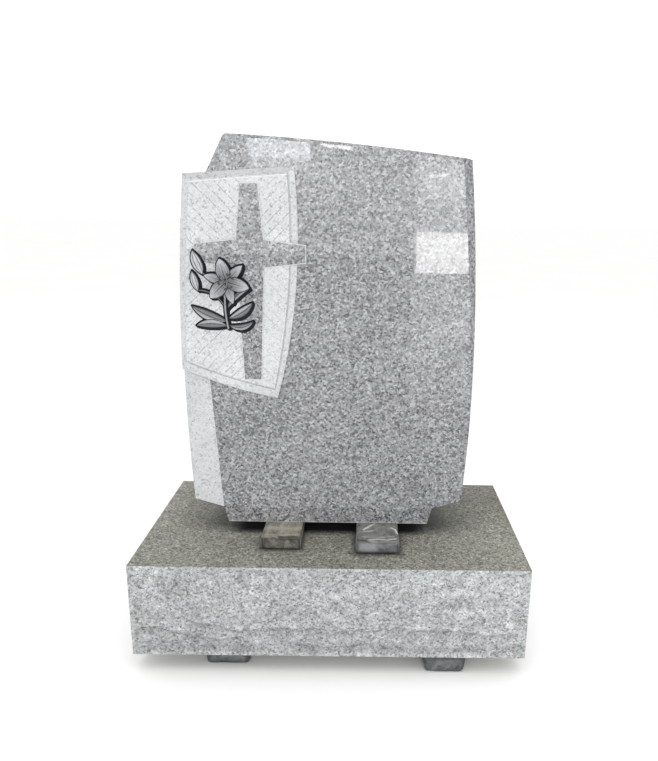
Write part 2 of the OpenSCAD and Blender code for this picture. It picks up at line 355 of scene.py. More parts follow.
# painted shadow: nearly black in the gap under the tablet, which is rougher there too
deep = remap(nt, M(nt, "ABSOLUTE", y), 0.046, 0.082, 1.0, 0.0, True)
far = M(nt, "ABSOLUTE", M(nt, "ADD", x, 0.013))
gap_shadow = M(nt, "MULTIPLY", deep, remap(nt, far, 0.205, 0.256, 1.0, 0.0, True))
# painted shade: darker towards the back right of the top
back = M(nt, "MULTIPLY", remap(nt, x, 0.15, 0.45, 0.0, 1.0), remap(nt, y, -0.05, 0.2))
c = mixc(nt, M(nt, "MINIMUM", back, 0.62), c, (0.45, 0.445, 0.41), "MULTIPLY")
# painted shadow round the foot of each block
for bx, bw, by in ((-0.121, 0.046, -0.0025), (0.108, 0.051, -0.0175)):
    ex = M(nt, "MAXIMUM", M(nt, "SUBTRACT", M(nt, "ABSOLUTE", M(nt, "SUBTRACT", x, bx)), bw), 0.0)
    ey = M(nt, "MAXIMUM", M(nt, "SUBTRACT", M(nt, "ABSOLUTE", M(nt, "SUBTRACT", y, by)), 0.146), 0.0)
    reach = M(nt, "SQRT", M(nt, "ADD", M(nt, "MULTIPLY", ex, ex), M(nt, "MULTIPLY", ey, ey)))
    c = mixc(nt, remap(nt, reach, 0.0, 0.017, 0.62, 0.0, True), c, (0.02, 0.02, 0.018))
shade = M(nt, "MULTIPLY", remap(nt, y, -0.075, -0.015, 0.0, 1.0, True), remap(nt, y, 0.12, 0.19, 1.0, 0.0, True))
shade = M(nt, "MULTIPLY", shade, M(nt, "MAXIMUM", remap(nt, far, 0.24, 0.42, 0.66, 0.0), remap(nt, far, 0.25, 0.37, 0.76, 0.0, True)))
shade = M(nt, "MULTIPLY", shade, remap(nt, x, -0.01, 0.01, 1.0, 1.25))
c = mixc(nt, shade, c, (0.02, 0.02, 0.016))
c = mixc(nt, M(nt, "MULTIPLY", gap_shadow, 0.97), c, (0.006, 0.006, 0.006))
principled(nt, Base_Color=c, Roughness=mixf(nt, gap_shadow, 0.5, 0.95), IOR=1.3, Normal=bump(nt, noise(nt, co, 3.0, 2.0).outputs["Fac"], 0.15, 0.6))


def film(name, wood, wood2, haze, front, crease_highlight, rough, seed, fold_highlight=(0.62, 0.63, 0.62)):
    """Timber in clear film: grain below, hazy patches above, ends partly end grain and partly painted shade, painted
    shade near the edges and in dark strokes, painted highlights along creases and folds.
    """
    m, nt = new_mat(name)
    co = coords(nt)
    mp = N(nt, "ShaderNodeMapping", {"Vector": co, "Location": (seed, seed * 0.7, 0.0), "Scale": (1.0, 0.10, 1.0)}).outputs[0]
    grain = noise(nt, mp, 9.0, 3.0, 0.6, 0.6).outputs["Fac"]
    c = mixc(nt, remap(nt, grain, 0.35, 0.65), wood, wood2)
    nrm = N(nt, "ShaderNodeNewGeometry").outputs["Normal"]
    nx, ny, nz = xyz(nt, nrm)
    # the ends take their own colour, partly end grain and partly painted shade
    end = remap(nt, M(nt, "ABSOLUTE", ny), 0.55, 0.9, 0.0, 1.0, True)
    c = mixc(nt, end, c, front)
    rim = attr(nt, "rim")
    so = vadd(nt, co, N(nt, "ShaderNodeCombineXYZ", {0: seed, 1: seed * 1.3, 2: seed * 0.4}).outputs[0])
    hz = noise(nt, so, 24.0, 4.0, 0.65, 0.9).outputs["Fac"]
    c = mixc(nt, remap(nt, hz, 0.42, 0.74, 0.0, 0.75), c, haze)
    dk = noise(nt, so, 15.0, 3.0, 0.6, 0.5).outputs["Fac"]
    c = mixc(nt, remap(nt, dk, 0.52, 0.72, 0.0, 0.7), c, tuple(v * 0.30 for v in wood2))
    w1 = N(nt, "ShaderNodeMapping", {"Vector": so, "Rotation": (0.3, 0.5, 0.6), "Scale": (1.0, 0.5, 1.7)}).outputs[0]
    wr = noise(nt, w1, 62.0, 1.0, 0.4, 0.9).outputs["Fac"]
    ridge = M(nt, "ABSOLUTE", M(nt, "SUBTRACT", wr, 0.5))
    # painted highlights: pale thin lines along the film's creases
    thin = remap(nt, ridge, 0.004, 0.020, 1.0, 0.0, True)
    thin = M(nt, "MULTIPLY", M(nt, "MULTIPLY", thin, remap(nt, noise(nt, so, 30, 1.0).outputs["Fac"], 0.40, 0.55)), M(nt, "MULTIPLY_ADD", end, -0.7, 1.0))
    c = mixc(nt, M(nt, "MULTIPLY", thin, crease_highlight), c, (0.62, 0.63, 0.63))
    # dark strokes of painted shade along edges and under the base
    c = mixc(nt, attr(nt, "dark_stroke"), c, tuple(v * 0.22 for v in wood2))
    # painted shade near the edges, stronger on the ends
    c = mixc(nt, M(nt, "MULTIPLY", rim, M(nt, "MULTIPLY_ADD", end, 0.68, 0.30)), c, tuple(v * 0.14 for v in front))
    # painted highlights along the folds of the film
    c = mixc(nt, attr(nt, "fold_highlight"), c, fold_highlight)
    nb = bump(nt, ridge, 0.5, 8.0)
    principled(nt, Base_Color=c, Roughness=rough, Normal=nb, IOR=1.35, Coat_Weight=0.3, Coat_Roughness=0.08, Coat_IOR=1.45)
    return m


m_film_tan = film("film_over_tan_timber", (0.30, 0.278, 0.212), (0.20, 0.185, 0.143), (0.37, 0.36, 0.315), (0.085, 0.085, 0.071), 0.25, 0.42, 0.31, (0.49, 0.465, 0.375))
m_film_grey = film("film_over_grey_timber", (0.198, 0.197, 0.175), (0.125, 0.125, 0.113), (0.31, 0.31, 0.29), (0.162, 0.173, 0.190), 0.30, 0.38, 1.73, (0.70, 0.71, 0.69))
m_film_dark = film("film_over_dark_timber", (0.066, 0.070, 0.072), (0.029, 0.031, 0.031), (0.19, 0.198, 0.203), (0.086, 0.091, 0.094), 0.60, 0.40, 3.17, (0.34, 0.35, 0.36))

# carved emblem: grey stone, black in the hollows and along the outlines
m_carved, nt = new_mat("carved_granite")
co = coords(nt)
tone = N(nt, "ShaderNodeAttribute", attribute_name="tone").outputs["Fac"]
ink = N(nt, "ShaderNodeAttribute", attribute_name="ink").outputs["Fac"]
sp = remap(nt, grains(nt, co, 3.0), 0.0, 1.0, 0.86, 1.10)
v = M(nt, "MULTIPLY", M(nt, "MULTIPLY", M(nt, "POWER", tone, 2.3), sp), 0.42)
grey = N(nt, "ShaderNodeCombineColor", {0: v, 1: M(nt, "MULTIPLY", v, 1.02), 2: M(nt, "MULTIPLY", v, 1.06)}).outputs[0]
c = mixc(nt, ink, (0.012, 0.013, 0.016), grey)
principled(nt, Base_Color=c, Roughness=mixf(nt, ink, 0.9, 0.4), IOR=1.28, Normal=bump(nt, noise(nt, co, 1.6, 2.0).outputs["Fac"], 0.15, 0.4))

# ---------------------------------------------------------------- mesh helpers


def lattice(u, v, cell, seed):
    """Smooth value noise, 0 to 1, on plane coordinates in mm."""
    r = np.random.default_rng(seed).random((256, 256))
    a, b = u / cell + 57.3, v / cell + 31.7
    i, j = np.floor(a).astype(int), np.floor(b).astype(int)
    f, g = a - i, b - j
    f, g = f * f * f * (f * (f * 6 - 15) + 10), g * g * g * (g * (g * 6 - 15) + 10)
    i0, i1, j0, j1 = i % 256, (i + 1) % 256, j % 256, (j + 1) % 256
    return (r[i0, j0] * (1 - f) + r[i1, j0] * f) * (1 - g) + (r[i0, j1] * (1 - f) + r[i1, j1] * f) * g


def add_piece(name, verts, faces, mats, idx=None, angle=None, merge=None, attrs=None, back=None):
    me = bpy.data.meshes.new(name)
    me.from_pydata([tuple(p) for p in verts], [], faces)
    if idx is not None:
        me.polygons.foreach_set("material_index", np.asarray(idx, np.int32))
    for m in mats:
        me.materials.append(m)
    for k, v in (attrs or {}).items():
        me.attributes.new(k, "FLOAT", "POINT").data.foreach_set("value", np.asarray(v, np.float32))
    if merge or back is not None:
        bm = bmesh.new()
        bm.from_mesh(me)
        if merge:
            bmesh.ops.remove_doubles(bm, verts=bm.verts, dist=merge)
        if back is not None:
            # walls down to a flat back, so that the relief is a closed solid
            made = bmesh.ops.extrude_edge_only(bm, edges=[e for e in bm.edges if e.is_boundary])["geom"]
            for v in made:
                if isinstance(v, bmesh.types.BMVert):
                    v.co.y = back
            bmesh.ops.triangle_fill(bm, use_beauty=True, use_dissolve=False, edges=[e for e in bm.edges if e.is_boundary], normal=(0, 1, 0))
        bmesh.ops.recalc_face_normals(bm, faces=bm.faces)
        bm.to_mesh(me)
        bm.free()
    me.polygons.foreach_set("use_smooth", np.ones(len(me.polygons), bool))
    if angle:
        me.set_sharp_from_angle(angle=math.radians(angle))
    me.update()
    o = bpy.data.objects.new(name, me)
    scene.collection.objects.link(o)
    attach(o, "root")
    return o


def grid_faces(nu, nv, base, flip=False):
    k = np.arange(nu * nv).reshape(nu, nv) + base
    q = np.stack([k[:-1, :-1], k[1:, :-1], k[1:, 1:], k[:-1, 1:]], -1).reshape(-1, 4)
    return (q[:, ::-1] if flip else q).tolist()


# ---------------------------------------------------------------- base block
lo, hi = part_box("base_block")
x0, y0, z0 = (c * 1000 for c in lo)
x1, y1, z1 = (c * 1000 for c in hi)
STEP = 3.0


def blur(a, k):
    """Mean over a square window of 2k + 1 cells, edges repeated."""
    n = 2 * k + 1
    for ax in (0, 1):
        c = np.cumsum(np.pad(a, [(k + 1, k) if i == ax else (0, 0) for i in (0, 1)], mode="edge"), ax)
        m = c.shape[ax] - n
        a = (np.take(c, np.arange(n, n + m), ax) - np.take(c, np.arange(m), ax)) / n
    return a


def ledges(w, seed):
    """Lines along which the stone broke in steps: a long one and a short branch."""
    if seed == 11:
        return [
            [(12, 74), (60, 70), (110, 60), (160, 47), (290, 36)],
            [(92, 106), (150, 88), (200, 73), (260, 70), (400, 71), (500, 63), (600, 72), (700, 69), (800, 61), (900, 70)],
        ]
    r = np.random.default_rng(seed + 70)
    long = [(w * t, 70 + r.uniform(-13, 13)) for t in np.linspace(0.02, 0.98, 10)]
    at = r.uniform(0.1, 0.5) * w
    return [long, [(at + 45 * i, 108 - 17 * i + r.uniform(-4, 4)) for i in range(5)]]


def split_depth(u, v, w, h, seed):
    """How far the split face lies behind its arrises, in mm, and how strong the painted shade is there, in its hollows
    and under its ledges.
    """
    e = np.minimum(np.minimum(u, w - u), np.minimum(v, h - v))
    k = np.clip(e / 16.0, 0, 1)
    k = k * k * (3 - 2 * k)
    wu = u + 26 * (lattice(u, v, 45, seed + 9) - 0.5)
    wv = v + 22 * (lattice(u, v, 38, seed + 8) - 0.5)
    d = 3.5 * lattice(u, v * 1.5, 150, seed) + 3.2 * np.abs(lattice(wu, wv * 1.4, 62, seed + 1) - 0.5) * 2
    # shallow shell-shaped flakes, steep at their upper rim
    rng = np.random.default_rng(seed + 50)
    for _ in range(int(w / 48)):
        cu, cv = rng.uniform(0.03, 0.97) * w, rng.uniform(0.05, 0.62) * h
        ru, rv = rng.uniform(28, 95), rng.uniform(14, 42)
        r = np.sqrt(((wu - cu) / ru) ** 2 + ((wv - cv) / rv) ** 2)
        up = np.clip((wv - cv) / rv, -1, 1)
        d = d + rng.uniform(1.2, 3.0) * np.clip(1 - r, 0, 1) ** 0.7 * (0.65 + 0.5 * up)
    line = np.zeros_like(d)
    for i, knots in enumerate(ledges(w, seed)):
        ku, kv = zip(*knots)
        lv = np.interp(u, ku, kv) + 13 * (lattice(u, 0 * v, 37, seed + 21 + i) - 0.5) + 9 * (lattice(u, 0 * v, 12, seed + 24 + i) - 0.5)
        on = np.clip((u - ku[0]) / 30, 0, 1) * np.clip((ku[-1] - u) / 30, 0, 1)
        d = d + 4.2 * on * np.clip((lv - v) / 4.0, 0, 1) * np.clip(1 - (lv - v) / 60, 0.4, 1)
        # painted shade along a narrow band just under each ledge
        line = np.maximum(line, on * np.exp(-(((lv - 2.5 - v) / 3.4) ** 2)) * np.clip(0.15 + 1.3 * lattice(u, v, 34, seed + 30 + i), 0, 1))
    d += 2.2 * lattice(wu, wv, 17, seed + 3) + 1.3 * lattice(u, v, 8.5, seed + 4)
    d = k * np.clip(d - 1.2, 0, 12)
    return d, 0.7 * np.clip((d - blur(d, int(21 / STEP))) / 2.4, -1, 1) + 0.75 * line * k


V, F, I, hollow = [], [], [], []
count = 0
nx_, ny_, nz_ = (int(round((b - a) / STEP)) + 1 for a, b in ((x0, x1), (y0, y1), (z0, z1)))
gx, gy, gz = np.linspace(x0, x1, nx_), np.linspace(y0, y1, ny_), np.linspace(z0, z1, nz_)
for seed, axis, sign in ((11, 1, -1), (23, 1, 1), (37, 0, -1), (41, 0, 1)):
    g = gx if axis == 1 else gy
    A, B = np.meshgrid(g, gz, indexing="ij")
    d, cav = split_depth(A - g[0], B - z0, g[-1] - g[0], z1 - z0, seed)
    hollow.append(cav.ravel())
    if axis == 1:
        P = np.stack([A, np.where(sign < 0, y0 + d, y1 - d), B], -1)
    else:
        P = np.stack([np.where(sign < 0, x0 + d, x1 - d), A, B], -1)
    V.append(P.reshape(-1, 3))
    fs = grid_faces(len(g), nz_, count)
    F += fs
    I += [0] * len(fs)
    count += len(g) * nz_
ring = (
    [(a, y0) for a in gx[:-1]] + [(x1, b) for b in gy[:-1]] + [(a, y1) for a in gx[:0:-1]] + [(x0, b) for b in gy[:0:-1]]
)
for lvl, mi in ((z1, 1), (z0, 1)):
    V.append(np.array([(a, b, lvl) for a, b in ring]))
    hollow.append(np.zeros(len(ring)))
    F.append(list(range(count, count + len(ring))))
    I.append(mi)
    count += len(ring)
base = add_piece("base_stone", np.vstack(V) * MM, F, [m_split, m_sawn], I, 40, 2e-5, {"hollow": np.concatenate(hollow)})
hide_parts("base_block")

# ---------------------------------------------------------------- wrapped timbers


def off_path(a, b, pts):
    """Distance in a plane from points (a, b) to a polyline."""
    best = np.full(a.shape, 1e9)
    for (ax, ay), (bx, by) in zip(pts[:-1], pts[1:]):
        dx, dy = bx - ax, by - ay
        t = np.clip(((a - ax) * dx + (b - ay) * dy) / (dx * dx + dy * dy), 0, 1)
        best = np.minimum(best, np.hypot(a - ax - t * dx, b - ay - t * dy))
    return best


def strokes(co, n_top, paths):
    """Marks of the film on the top (x, y) and on the ends (x, z), the same at both ends."""
    out = np.zeros(len(co))
    for on_top, pts, width, strength in paths:
        d = off_path(co[:, 0], -np.abs(co[:, 1]), pts) if on_top else off_path(co[:, 0], co[:, 2], pts)
        out = np.maximum(out, strength * np.exp(-((d / width) ** 2)) * (n_top if on_top else 1 - n_top))
    return out


def wrapped(name, node, mat, r, seed, gap=2.5, bulge=0.0, edge=5.0, fold_highlights=(), dark_strokes=(), flare=None):
    lo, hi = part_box(node)
    lo, hi = np.array(lo) * 1000, np.array(hi) * 1000
    c, hf = (lo + hi) / 2, (hi - lo) / 2
    st = gap * 1
    V, F, count = [], [], 0
    for ax in range(3):
        u, v = [i for i in range(3) if i != ax]
        nu, nv = (max(int(2 * hf[i] / st), 8) for i in (u, v))
        # closer rings near the rounded edges
        def line(n, half):
            t = np.linspace(-1, 1, n + 1)
            return half * np.sign(t) * (1 - (1 - np.abs(t)) ** 1.15)

        a, b = line(nu, hf[u]), line(nv, hf[v])
        A, B = np.meshgrid(a, b, indexing="ij")
        for s in (-1, 1):
            P = np.zeros(A.shape + (3,))
            P[..., u], P[..., v], P[..., ax] = A, B, s * hf[ax]
            V.append(P.reshape(-1, 3))
            F += grid_faces(nu + 1, nv + 1, count)
            count += (nu + 1) * (nv + 1)
    P = np.vstack(V)
    q = np.clip(P, -(hf - r), hf - r)
    d = P - q
    n = d / np.maximum(np.linalg.norm(d, axis=1, keepdims=True), 1e-9)
    P = q + n * r
    # loose film: creases run along and across the bar, always inwards
    t1 = P[:, 1] + 0.5 * P[:, 0]
    t2 = P[:, 0] + P[:, 2] * 1.3
    cr = 1 - np.abs(lattice(t1 * 0.45, t2, 16, seed) - 0.5) * 2
    cr2 = 1 - np.abs(lattice(t1, t2 * 0.6 + 40, 24, seed + 1) - 0.5) * 2
    dep = 0.9 * cr**5 + 0.8 * cr2**6 + 0.5 * lattice(t1, t2, 40, seed + 2)
    P = P - n * dep[:, None]
    P = P * (1 + np.array([bulge / hf[0], bulge / hf[1], 0.0]))
    at = P + c
    gap2 = np.sort(hf - np.abs(P) / (1 + np.array([bulge / hf[0], bulge / hf[1], 0.0])), axis=1)[:, 1]
    n_top = np.clip((at[:, 2] - (hi[2] - 5.0)) / 3.0, 0, 1)
    fold_highlight, dark_stroke = strokes(at, n_top, fold_highlights), strokes(at, n_top, dark_strokes)
    at = at + n * (0.7 * fold_highlight * np.clip((np.abs(at[:, 1]) - 77.0) / 6.0, 0, 1))[:, None]
    if flare:
        # the film's sides lean: shifts in mm at left top, left bottom, right top, right bottom
        side, up = np.clip(P[:, 0] / hf[0], -1, 1), np.clip((at[:, 2] - lo[2]) / (hi[2] - lo[2]), 0, 1)
        left, right = flare[1] + (flare[0] - flare[1]) * up**1.4, flare[3] + (flare[2] - flare[3]) * up
        at[:, 0] += np.where(side < 0, -side * left, side * right)
    # marks: painted shade near the edges, painted highlights along the folds, dark strokes of painted shade
    marks = {"rim": np.clip(1.3 * np.exp(-np.maximum(gap2, 0) / edge), 0, 1), "fold_highlight": fold_highlight, "dark_stroke": dark_stroke}
    o = add_piece(name, at * MM, F, [mat], None, None, 1e-5, marks)
    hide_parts(node)
    return o


wrapped("wrapped_bearer_left", "bearer_left", m_film_dark, 10.0, 101, 3.0, edge=8.0, fold_highlights=[(False, [(-270, 20), (-235, 24), (-205, 19)], 3.0, 0.16)], dark_strokes=[(False, [(-258, 8), (-244, 7)], 4.0, 0.7), (False, [(-282, 20), (-278, 40)], 4.0, 0.5), (False, [(-200, 24), (-198, 40)], 4.0, 0.5)], flare=(-6.0, -2.0, 1.0, -1.5))
wrapped("wrapped_bearer_right", "bearer_right", m_film_dark, 8.0, 111, 3.0, edge=7.0, fold_highlights=[(False, [(245, 12), (262, 30), (300, 34)], 3.0, 0.14)], dark_strokes=[(False, [(228, 42), (316, 42)], 3.5, 0.6), (False, [(229, 28), (226, 44)], 4.0, 0.8)], flare=(-11.0, 2.5, 4.5, -2.5))
wrapped(
    "wrapped_block_left", "setting_block_left", m_film_tan, 4.5, 121, 1.5, 2.0, 6.0,
    fold_highlights=[(True, [(-160, -107), (-80, -105)], 11.0, 0.42), (True, [(-158, -138), (-122, -140), (-82, -137)], 3.0, 0.40), (False, [(-150, 283), (-124, 291)], 6.0, 0.10)],
    dark_strokes=[(True, [(-122, -148), (-78, -147)], 4.2, 0.95), (False, [(-122, 303), (-78, 303)], 3.6, 0.9), (False, [(-116, 276), (-113, 304)], 4.0, 0.6), (False, [(-160, 276), (-157, 304)], 4.5, 0.6), (True, [(-164, -128), (-160, -80)], 4.0, 0.5)],
)
wrapped(
    "wrapped_block_right", "setting_block_right", m_film_grey, 9.0, 131, 1.5, 3.0, 8.0,
    fold_highlights=[
        (True, [(75.7, -105.7), (103, -74)], 2.7, 0.95),
        (True, [(76, -113.5), (95, -113)], 2.6, 0.5),
        (True, [(141.7, -96.9), (151, -105.5), (155.5, -123)], 2.8, 1.0),
        (True, [(87, -156.5), (109, -152), (132, -156), (152, -149.5)], 2.6, 0.62),
        (True, [(72, -142), (112, -144), (148, -138)], 2.4, 0.25),
        (False, [(72, 290), (98, 291)], 10.0, 0.22),
    ],
    dark_strokes=[(True, [(62, -157), (84, -159)], 4.0, 0.85), (True, [(110, -158), (150, -158)], 2.4, 0.5), (False, [(114, 286), (150, 283)], 7.0, 0.40)],
)

# ---------------------------------------------------------------- lily spray
FACE_Y, TX, TZ = -75.0, -13.0, 306.0
FIELD, CROSS = 15.0, 18.0
SPRAY = (-238.5, 573.5)
FLOWER = (13.0, 19.0)


def bow(u, L, s):
    a = abs(s)
    R = (L * L / 4 + a * a) / (2 * a)
    w = np.sqrt(np.maximum(R * R - (u - L / 2) ** 2, 0)) - (R - a)
    return w if s > 0 else -w


def along_line(X, Z, p, q):
    d = np.subtract(q, p).astype(float)
    L = np.hypot(*d)
    d /= L
    rx, rz = X - p[0], Z - p[1]
    return rx * d[0] + rz * d[1], -rx * d[1] + rz * d[0], L


def leaf(X, Z, p, q, s1, s2):
    u, w, L = along_line(X, Z, p, q)
    a, b = bow(u, L, s1), bow(u, L, s2)
    hw = np.maximum((a + b) / 2, 1e-6)
    v = (w - (a - b) / 2) / hw
    return (u > 0) & (u < L) & (np.abs(v) < 1) & (a + b > 0), np.clip(u / L, 0, 1), v, (1 - np.abs(v)) * hw


def stalk(X, Z, p, q, s, wd):
    u, w, L = along_line(X, Z, p, q)
    v = (w - bow(u, L, s)) / (wd / 2)
    return (u > 0) & (u < L) & (np.abs(v) < 1), np.clip(u / L, 0, 1), v, (1 - np.abs(v)) * wd / 2


def polar(a, r):
    return np.array([r * math.cos(math.radians(a)), r * math.sin(math.radians(a))])


def dome(v):
    return np.sqrt(np.maximum(1 - v * v, 0))


def spray(X, Z):
    """Height over the field, distance to the visible outline, tone and mask."""
    H, E, T = np.zeros_like(X), np.full_like(X, 99.0), np.ones_like(X)
    K = np.zeros(X.shape, bool)

    def put(k, h, e, t):
        H[k], E[k], T[k], K[k] = h[k], e[k], t[k], True

    for p, q, s1, s2, tw in (
        ((13, -70), (-68, -36), 17, 5, 1),
        ((13, -82), (-60, -82), 5, 16, -1),
        ((14, -78), (71, -68), -3, 18, -1),
        ((13, -64), (70, -26), 4, 16, 1),
        ((12, -44), (66, 4), 16, -2, -1),
    ):
        k, t, v, e = leaf(X, Z, p, q, s1, s2)
        h = 2.4 + 3.6 * (1 - v * v) * np.sin(np.pi * t) ** 0.5 + 1.4 * tw * v
        h += 0.22 * np.cos(v * 22) - 1.5 * np.exp(-((v / 0.10) ** 2))
        put(k, h, e, 0.76 + 0.24 * tw * v - 0.5 * np.exp(-((v / 0.09) ** 2)) - 0.12 * np.cos(v * 24) * (1 - t))
    for p, q, s, wd in (((11, -30), (-38, 36), -8, 5), ((11, -48), (-50, -1), -13, 4.5), ((14, -87), (12, 20), 5, 7)):
        k, t, v, e = stalk(X, Z, p, q, s, wd)
        put(k, 3.4 + 3.4 * dome(v), e, 0.86 + 0 * v)
    for p, q, s1, s2 in (((-38, 33), (-60, 87), 14, 10), ((-50, -4), (-63, 42), 10, 8)):
        k, t, v, e = leaf(X, Z, p, q, s1, s2)
        h = 3.4 + 7.6 * dome(v) * np.sin(np.pi * np.clip(0.1 + 0.85 * t, 0, 1)) ** 0.6
        h -= 1.4 * np.exp(-(((v - 0.30) / 0.10) ** 2)) + 1.1 * np.exp(-(((v + 0.45) / 0.10) ** 2))
        put(k, h, e, 1.0 - 0.45 * np.exp(-(((v - 0.30) / 0.09) ** 2)) - 0.35 * np.exp(-(((v + 0.45) / 0.09) ** 2)))
    for ring in (1, 0):
        for j in range(ring, 6, 2):
            a = 105 + 60 * j
            w = 11.5 if ring else 16.0
            p, q = FLOWER + polar(a, -6), FLOWER + polar(a, 53)
            k, t, v, e = leaf(X, Z, p, q, w, w)
            lift = (3.2 if ring else 4.8) + 7.6 * np.sin(np.pi * np.clip(t * 0.92 + 0.02, 0, 1)) ** 0.8
            h = lift + 1.6 * (1 - v * v) - 1.6 * np.exp(-((v / 0.11) ** 2)) * (1 - t) ** 0.5
            h -= 0.55 * np.exp(-(((np.abs(v) - 0.5) / 0.14) ** 2)) * (1 - t)
            h += 0.7 * np.sin(t * 15 + j) * np.abs(v) ** 3
            vein = np.exp(-(((np.abs(v) - 0.34) / 0.06) ** 2)) + np.exp(-(((np.abs(v) - 0.66) / 0.06) ** 2))
            put(k, h, e, 0.52 + 0.52 * t - 0.5 * np.exp(-((v / 0.08) ** 2)) * (1 - t) - 0.30 * vein * (1 - t) ** 0.8)
    for j in range(6):
        a = 78 + 60 * j + (8 if j % 2 else -6)
        q = FLOWER + polar(a, 17)
        k, t, v, e = stalk(X, Z, FLOWER, q, 1.2, 2.6)
        put(k, 9.0 + 1.4 * dome(v) + 1.5 * t, e + 0.7, 1.0 + 0 * v)
        n = polar(a + 90, 3.8)
        k, t, v, e = stalk(X, Z, q - n, q + n, 0.7, 3.8)
        put(k, 11.0 + 2.0 * dome(v), e + 0.5, 0.62 + 0 * v)
    return H, E, T, K


def in_cross(X, Z):
    ax, az = np.abs(X + 172.5), Z - 654.5
    up = np.where(az > 0, (az - 31) / (150 - 31), (-az - 31) / (287 - 31))
    tall = (az < 150) & (az > -287) & (ax < 31 - 11 * np.clip(up, 0, 1))
    wide = (ax < 123) & (np.abs(az) < 31 - 11 * np.clip((ax - 31) / (123 - 31), 0, 1))
    return tall | wide


g = 0.6
sx, sz = np.arange(-84, 84.1, g), np.arange(-99, 99.1, g)
X, Z = np.meshgrid(sx, sz, indexing="ij")
H, E, T, K = spray(X, Z)
ground = np.where(in_cross(X + SPRAY[0], Z + SPRAY[1]), CROSS, FIELD)


def spread(mask, r, ox=0.0, oz=0.0):
    """The mask grown by r mm after a shift, for the cut-in ground line."""
    out = np.zeros_like(mask)
    k = int(math.ceil(r / g))
    for i in range(-k, k + 1):
        for j in range(-k, k + 1):
            if math.hypot(i, j) * g <= r:
                out |= np.roll(np.roll(mask, i + int(round(ox / g)), 0), j + int(round(oz / g)), 1)
    return out


band = spread(K, 3.2) | spread(K, 2.4, 3.0, -3.4)
rise = np.where(K, FIELD + np.maximum(H, 0.4) + (ground - FIELD) * 0.8, ground + 0.35)
near = spread(band, 1.5 * g)
rise = np.where(band, rise, ground - 2.0)
cell = near[:-1, :-1] & near[1:, :-1] & near[1:, 1:] & near[:-1, 1:]
for _ in range(6):
    # no two cells may touch at a corner only
    one = cell[:-1, :-1] & cell[1:, 1:] & ~cell[1:, :-1] & ~cell[:-1, 1:]
    two = cell[1:, :-1] & cell[:-1, 1:] & ~cell[:-1, :-1] & ~cell[1:, 1:]
    cell[1:, :-1] |= one
    cell[:-1, :-1] |= two
near = np.zeros_like(near)
for i, j in ((0, 0), (1, 0), (1, 1), (0, 1)):
    near[i : i + cell.shape[0], j : j + cell.shape[1]] |= cell
ids = np.full(K.shape, -1)
ids[near] = np.arange(near.sum())
quads = np.stack([ids[:-1, :-1], ids[1:, :-1], ids[1:, 1:], ids[:-1, 1:]], -1)[cell]
P = np.stack([X + SPRAY[0] + TX, FACE_Y - rise, Z + SPRAY[1] + TZ], -1)[near]
marks = {"tone": np.where(K, T, 0.2)[near], "ink": np.where(K, np.clip((E - 0.8) / 2.2, 0, 1), 0.0)[near]}
lily = add_piece("lily_relief", P * MM, quads.tolist(), [m_carved], attrs=marks, back=(FACE_Y - FIELD + 4.0) * MM)
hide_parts("lily_flower", "lily_bud", "lily_leaves")

# ---------------------------------------------------------------- shield border


def bowed(p, q, s, n):
    """n + 1 points of an arc from p to q, bowed by s to the left of the way."""
    p, q = np.array(p, float), np.array(q, float)
    t = np.linspace(0, 1, n + 1)[:, None]
    if s == 0:
        return p + (q - p) * t
    L = np.hypot(*(q - p))
    u = (q - p) / L
    m = np.array([-u[1], u[0]])
    r = (L * L / 4 + s * s) / (2 * s)
    a = math.asin(L / 2 / r)
    w = -a + 2 * a * t
    return (p + q) / 2 + m * (s - r) + r * (u * np.sin(w) + m * np.cos(w))


def half_width(z):
    return 338 - 4250 + math.sqrt(4250**2 - (z - 395) ** 2)


OUT = [(-half_width(821.5), 821.5), (-76, 841), (-118.8, 320.4), (-half_width(387), 387)]
INN = [(-299, 805.5), (-90, 824), (-124, 347.6), (-323.5, 410)]
outer, inner, weight = [], [], []
for i, (n, so_, si_, wt) in enumerate(((40, 0, 0, 0.0), (90, 24, 17.5, 0.8), (45, 6.6, 5, 1.0), (80, 5.57, 5, 0.35))):
    j = (i + 1) % 4
    outer.append(bowed(OUT[i], OUT[j], so_, n)[:-1])
    inner.append(bowed(INN[i], INN[j], si_, n)[:-1])
    weight.append(np.full(n, wt))
outer, inner, weight = np.vstack(outer), np.vstack(inner), np.concatenate(weight)
count = len(outer)
# each row: place from the outer to the inner edge, height in mm, strength of the painted shade in the groove
PROFILE = [(0.0, 0.0, 0), (0.0, 3.2, 0), (0.04, 4.2, 0), (0.3, 6.4, 0), (0.6, 8.8, 0), (0.75, 10.0, 0), (0.78, 10.3, 0.15), (0.84, 9.5, 0.95), (0.96, 9.7, 1), (1.0, 12.2, 0.5), (1.04, 12.2, 0), (1.04, 0.0, 0)]
P, groove_shade = [], []
for f, h, d in PROFILE:
    q = outer + (inner - outer) * f
    if 0.83 < f < 1.0:
        h = 11.7 + (h - 11.7) * np.clip(weight * 1.6, 0, 1)
    P.append(np.stack([q[:, 0] + TX, FACE_Y - np.full(count, 1.0) * h, q[:, 1] + TZ], -1))
    groove_shade.append(d * weight)
k = np.arange(len(PROFILE) * count).reshape(len(PROFILE), count)
k2 = np.roll(k, -1, 0)
quads = np.stack([k, np.roll(k, -1, 1), np.roll(k2, -1, 1), k2], -1).reshape(-1, 4)
border = add_piece("shield_bevel", np.vstack(P) * MM, quads.tolist(), [m_border], None, 28, 1e-6, {"groove_shade": np.concatenate(groove_shade)})
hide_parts("shield_border")

